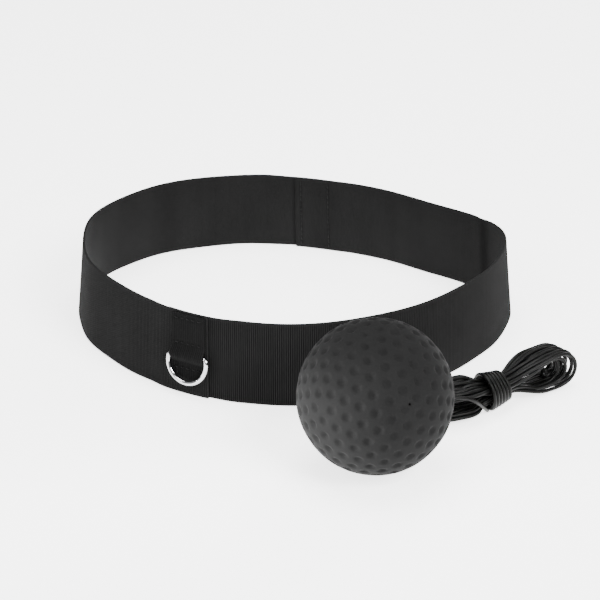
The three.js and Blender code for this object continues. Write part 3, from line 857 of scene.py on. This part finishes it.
def ring_line():
    """Middle of the D's wire: a straight bar, rounded corners and a half circle below."""
    corner = RING_HALF - RING_CORNER
    arc = lambda x, y, r, a, b, n: [
        (x + r * math.cos(t), y + r * math.sin(t)) for t in np.radians(np.linspace(a, b, n))]
    p = [(x, 0) for x in np.linspace(-corner, corner, 12)[1:-1]]
    p += arc(corner, -RING_CORNER, RING_CORNER, 90, 0, 8)
    drop = RING_DROP - RING_HALF - RING_CORNER
    p += [(RING_HALF, -RING_CORNER - drop * t) for t in (0.25, 0.5, 0.75)]
    p += arc(0, RING_HALF - RING_DROP, RING_HALF, 0, -180, 32)
    p += [(-RING_HALF, -RING_CORNER - drop * t) for t in (0.75, 0.5, 0.25)]
    p += arc(-corner, -RING_CORNER, RING_CORNER, 180, 90, 8)
    return Line([(x, y, 0) for x, y in p], joined=True, per_span=12)


left, up, _ = ring_line().spaced(0.45)[:-1].T
wire = in_tab(GAP + WIRE / 2 - up * math.sin(RING_TILT),
              BAR_HEIGHT + up * math.cos(RING_TILT), left)
Solid().tube(wire, WIRE / 2, 20, joined=True).piece(
    "d_ring_wire", chrome_finish(), "ring", "ring_chrome", "d_ring")


# ---------------------------------------------------------------- ball
DIMPLES, DIMPLE_R, DIMPLE_DEPTH = 308, 2.3, 0.8
BALL_ROWS, BALL_SIDES = 205, 330


def dimple_centres():
    """Evenly spread directions: a spiral start, then each pushed away from its neighbours."""
    k = np.arange(DIMPLES) + 0.5
    tilt, spin = np.arccos(1 - 2 * k / DIMPLES), math.pi * (1 + math.sqrt(5)) * k
    p = np.stack([np.cos(spin) * np.sin(tilt), np.sin(spin) * np.sin(tilt), np.cos(tilt)], -1)
    p += random.normal(0, 0.02, p.shape)
    p /= np.linalg.norm(p, axis=1, keepdims=True)
    for _ in range(240):
        d = p[:, None] - p[None]
        gap = np.linalg.norm(d, axis=2) + np.eye(DIMPLES) * 9
        push = (d / gap[..., None] ** 7).sum(1)
        push -= p * (push * p).sum(1, keepdims=True)
        p += 0.03 * push / np.abs(push).max()
        p /= np.linalg.norm(p, axis=1, keepdims=True)
    return p


def ball():
    """The dimpled skin, and the knot's pit and the hole through the foam."""
    tilt = np.linspace(math.asin(HOLE_R / BALL_R), math.pi - math.asin(MOUTH_R / BALL_R), BALL_ROWS)
    on_ball = np.stack([np.sin(tilt), -np.cos(tilt)], -1)
    side = np.cross(HOLE_AXIS, [0, 0, 1])
    side /= np.linalg.norm(side)
    up = np.cross(HOLE_AXIS, side)
    spin = np.arange(BALL_SIDES) * 2 * math.pi / BALL_SIDES
    flat = np.cos(spin)[:, None] * side + np.sin(spin)[:, None] * up
    ways = on_ball[:, 0, None, None] * flat + on_ball[:, 1, None, None] * HOLE_AXIS
    centres = dimple_centres()
    centres = centres[np.abs(centres @ HOLE_AXIS) < math.cos(2.6 / BALL_R)]  # none on a mouth
    near = np.full(ways.shape[:2], -1.0)
    for c in centres:
        near = np.maximum(near, ways @ c)
    reach = np.arccos(np.clip(near, -1, 1)) * BALL_R / DIMPLE_R
    bowl = np.clip(1 - reach ** 2, 0, 1) ** 1.5
    # the skin rolls in at both mouths of the hole
    front = np.arccos(np.clip(ways @ HOLE_AXIS, -1, 1)) * BALL_R - MOUTH_R
    back = np.arccos(np.clip(-(ways @ HOLE_AXIS), -1, 1)) * BALL_R - HOLE_R
    roll = 0.45 * np.exp(-(front / 0.7) ** 2) + 0.4 * np.exp(-(back / 0.7) ** 2)
    # slow unevenness of moulded foam
    slow = (0.07 * np.sin(ways @ np.array([5.1, 3.3, 2.7]) + 0.4)
            * np.sin(ways @ np.array([-3.1, 4.7, 6.3])))
    skin = ways * (BALL_R - DIMPLE_DEPTH * bowl - roll + slow - 0.05)[..., None]
    # radius and place along the hole: the mouth, the pit's walls and floor, then the hole
    roof, floor = BALL_R - SKIN, PIT_FLOOR
    inside = [
        (MOUTH_R - 0.05, roof + 0.3), (MOUTH_R, roof - 0.1), (1.3, roof - 0.45),
        (1.9, roof - 0.8), (PIT_R, roof - 1.6), (PIT_R, floor + 0.6),
        (PIT_R - 0.3, floor + 0.12), (PIT_R - 0.8, floor), (HOLE_R, floor)]
    inside += [(HOLE_R, h) for h in np.linspace(floor - 1.5, -BALL_R + 1.2, 24)]
    rings = np.concatenate([skin, [flat * r + HOLE_AXIS * h for r, h in inside]]) + BALL_CENTRE
    n = len(rings)
    solid = Solid().loft(rings, np.arange(n + 1) / n, np.arange(BALL_SIDES + 1) / BALL_SIDES,
                         joined=True)
    obj = solid.piece("foam_ball", foam_finish(), "ball", "ball_foam", "ball")
    # painted shade mask: high in the dimples' middles and 1 all down the pit and hole
    hollow_shade = obj.data.attributes.new("hollow_shade", "FLOAT", "POINT")
    hollow_shade.data.foreach_set("value", np.concatenate(
        [bowl.ravel(), np.ones(n * BALL_SIDES - bowl.size)]))
    return obj


ball()

# ---------------------------------------------------------------- floor and light
FLOOR_R, FLOOR_SIDES, FLOOR_AT = 4.0, 96, -0.0003  # in metres
ring = [(FLOOR_R * math.cos(a), FLOOR_R * math.sin(a), FLOOR_AT)
        for a in np.arange(FLOOR_SIDES) * 2 * math.pi / FLOOR_SIDES]
floor_mesh = bpy.data.meshes.new("floor")
floor_mesh.from_pydata(ring, [], [list(range(FLOOR_SIDES))])
floor = bpy.data.objects.new("floor", floor_mesh)
scene.collection.objects.link(floor)
paper = Finish("pale_floor", Roughness=0.9, Specular_IOR_Level=0.1,
               Emission_Color=(1, 1, 1), Emission_Strength=2.7)
paper.color(paper.mix(paper.noise(6.0), (0.8, 0.8, 0.8), (0.84, 0.84, 0.84)))
floor_mesh.materials.append(paper.material)


def soft_light(name, at, size, watts, towards=(0, 0, 0.02), spread=180):
    """A lamp with a wide face, in metres, turned towards a point."""
    data = bpy.data.lights.new(name, "AREA")
    data.shape, data.size, data.size_y = "RECTANGLE", *size
    data.energy, data.spread = watts, math.radians(spread)
    lamp = bpy.data.objects.new(name, data)
    scene.collection.objects.link(lamp)
    lamp.location = at
    way = np.array(towards) - np.array(at)
    pitch = math.atan2(math.hypot(way[0], way[1]), -way[2])
    lamp.rotation_euler = (pitch, 0, math.atan2(way[1], way[0]) - math.pi / 2)


soft_light("left_softbox", (-0.79, -0.94, 1.06), (0.7, 0.7), 14)
soft_light("right_softbox", (0.79, -0.94, 1.06), (0.7, 0.7), 56)
soft_light("top_softbox", (-0.1, 0.1, 1.5), (1.0, 1.0), 34)
soft_light("back_softbox", (0.61, 1.06, 1.06), (0.6, 0.6), 10)
# a small narrow one that lights the ball's lower left
soft_light("low_softbox", (-0.42, -0.2, 0.03), (0.08, 0.05), 0.12,
           towards=(0.032, -0.112, 0.02), spread=14)

world = bpy.data.worlds.new("studio")
world.use_nodes = True
background = world.node_tree.nodes["Background"]
background.inputs["Color"].default_value = (1, 1, 1, 1)
background.inputs["Strength"].default_value = 0.4
scene.world = world
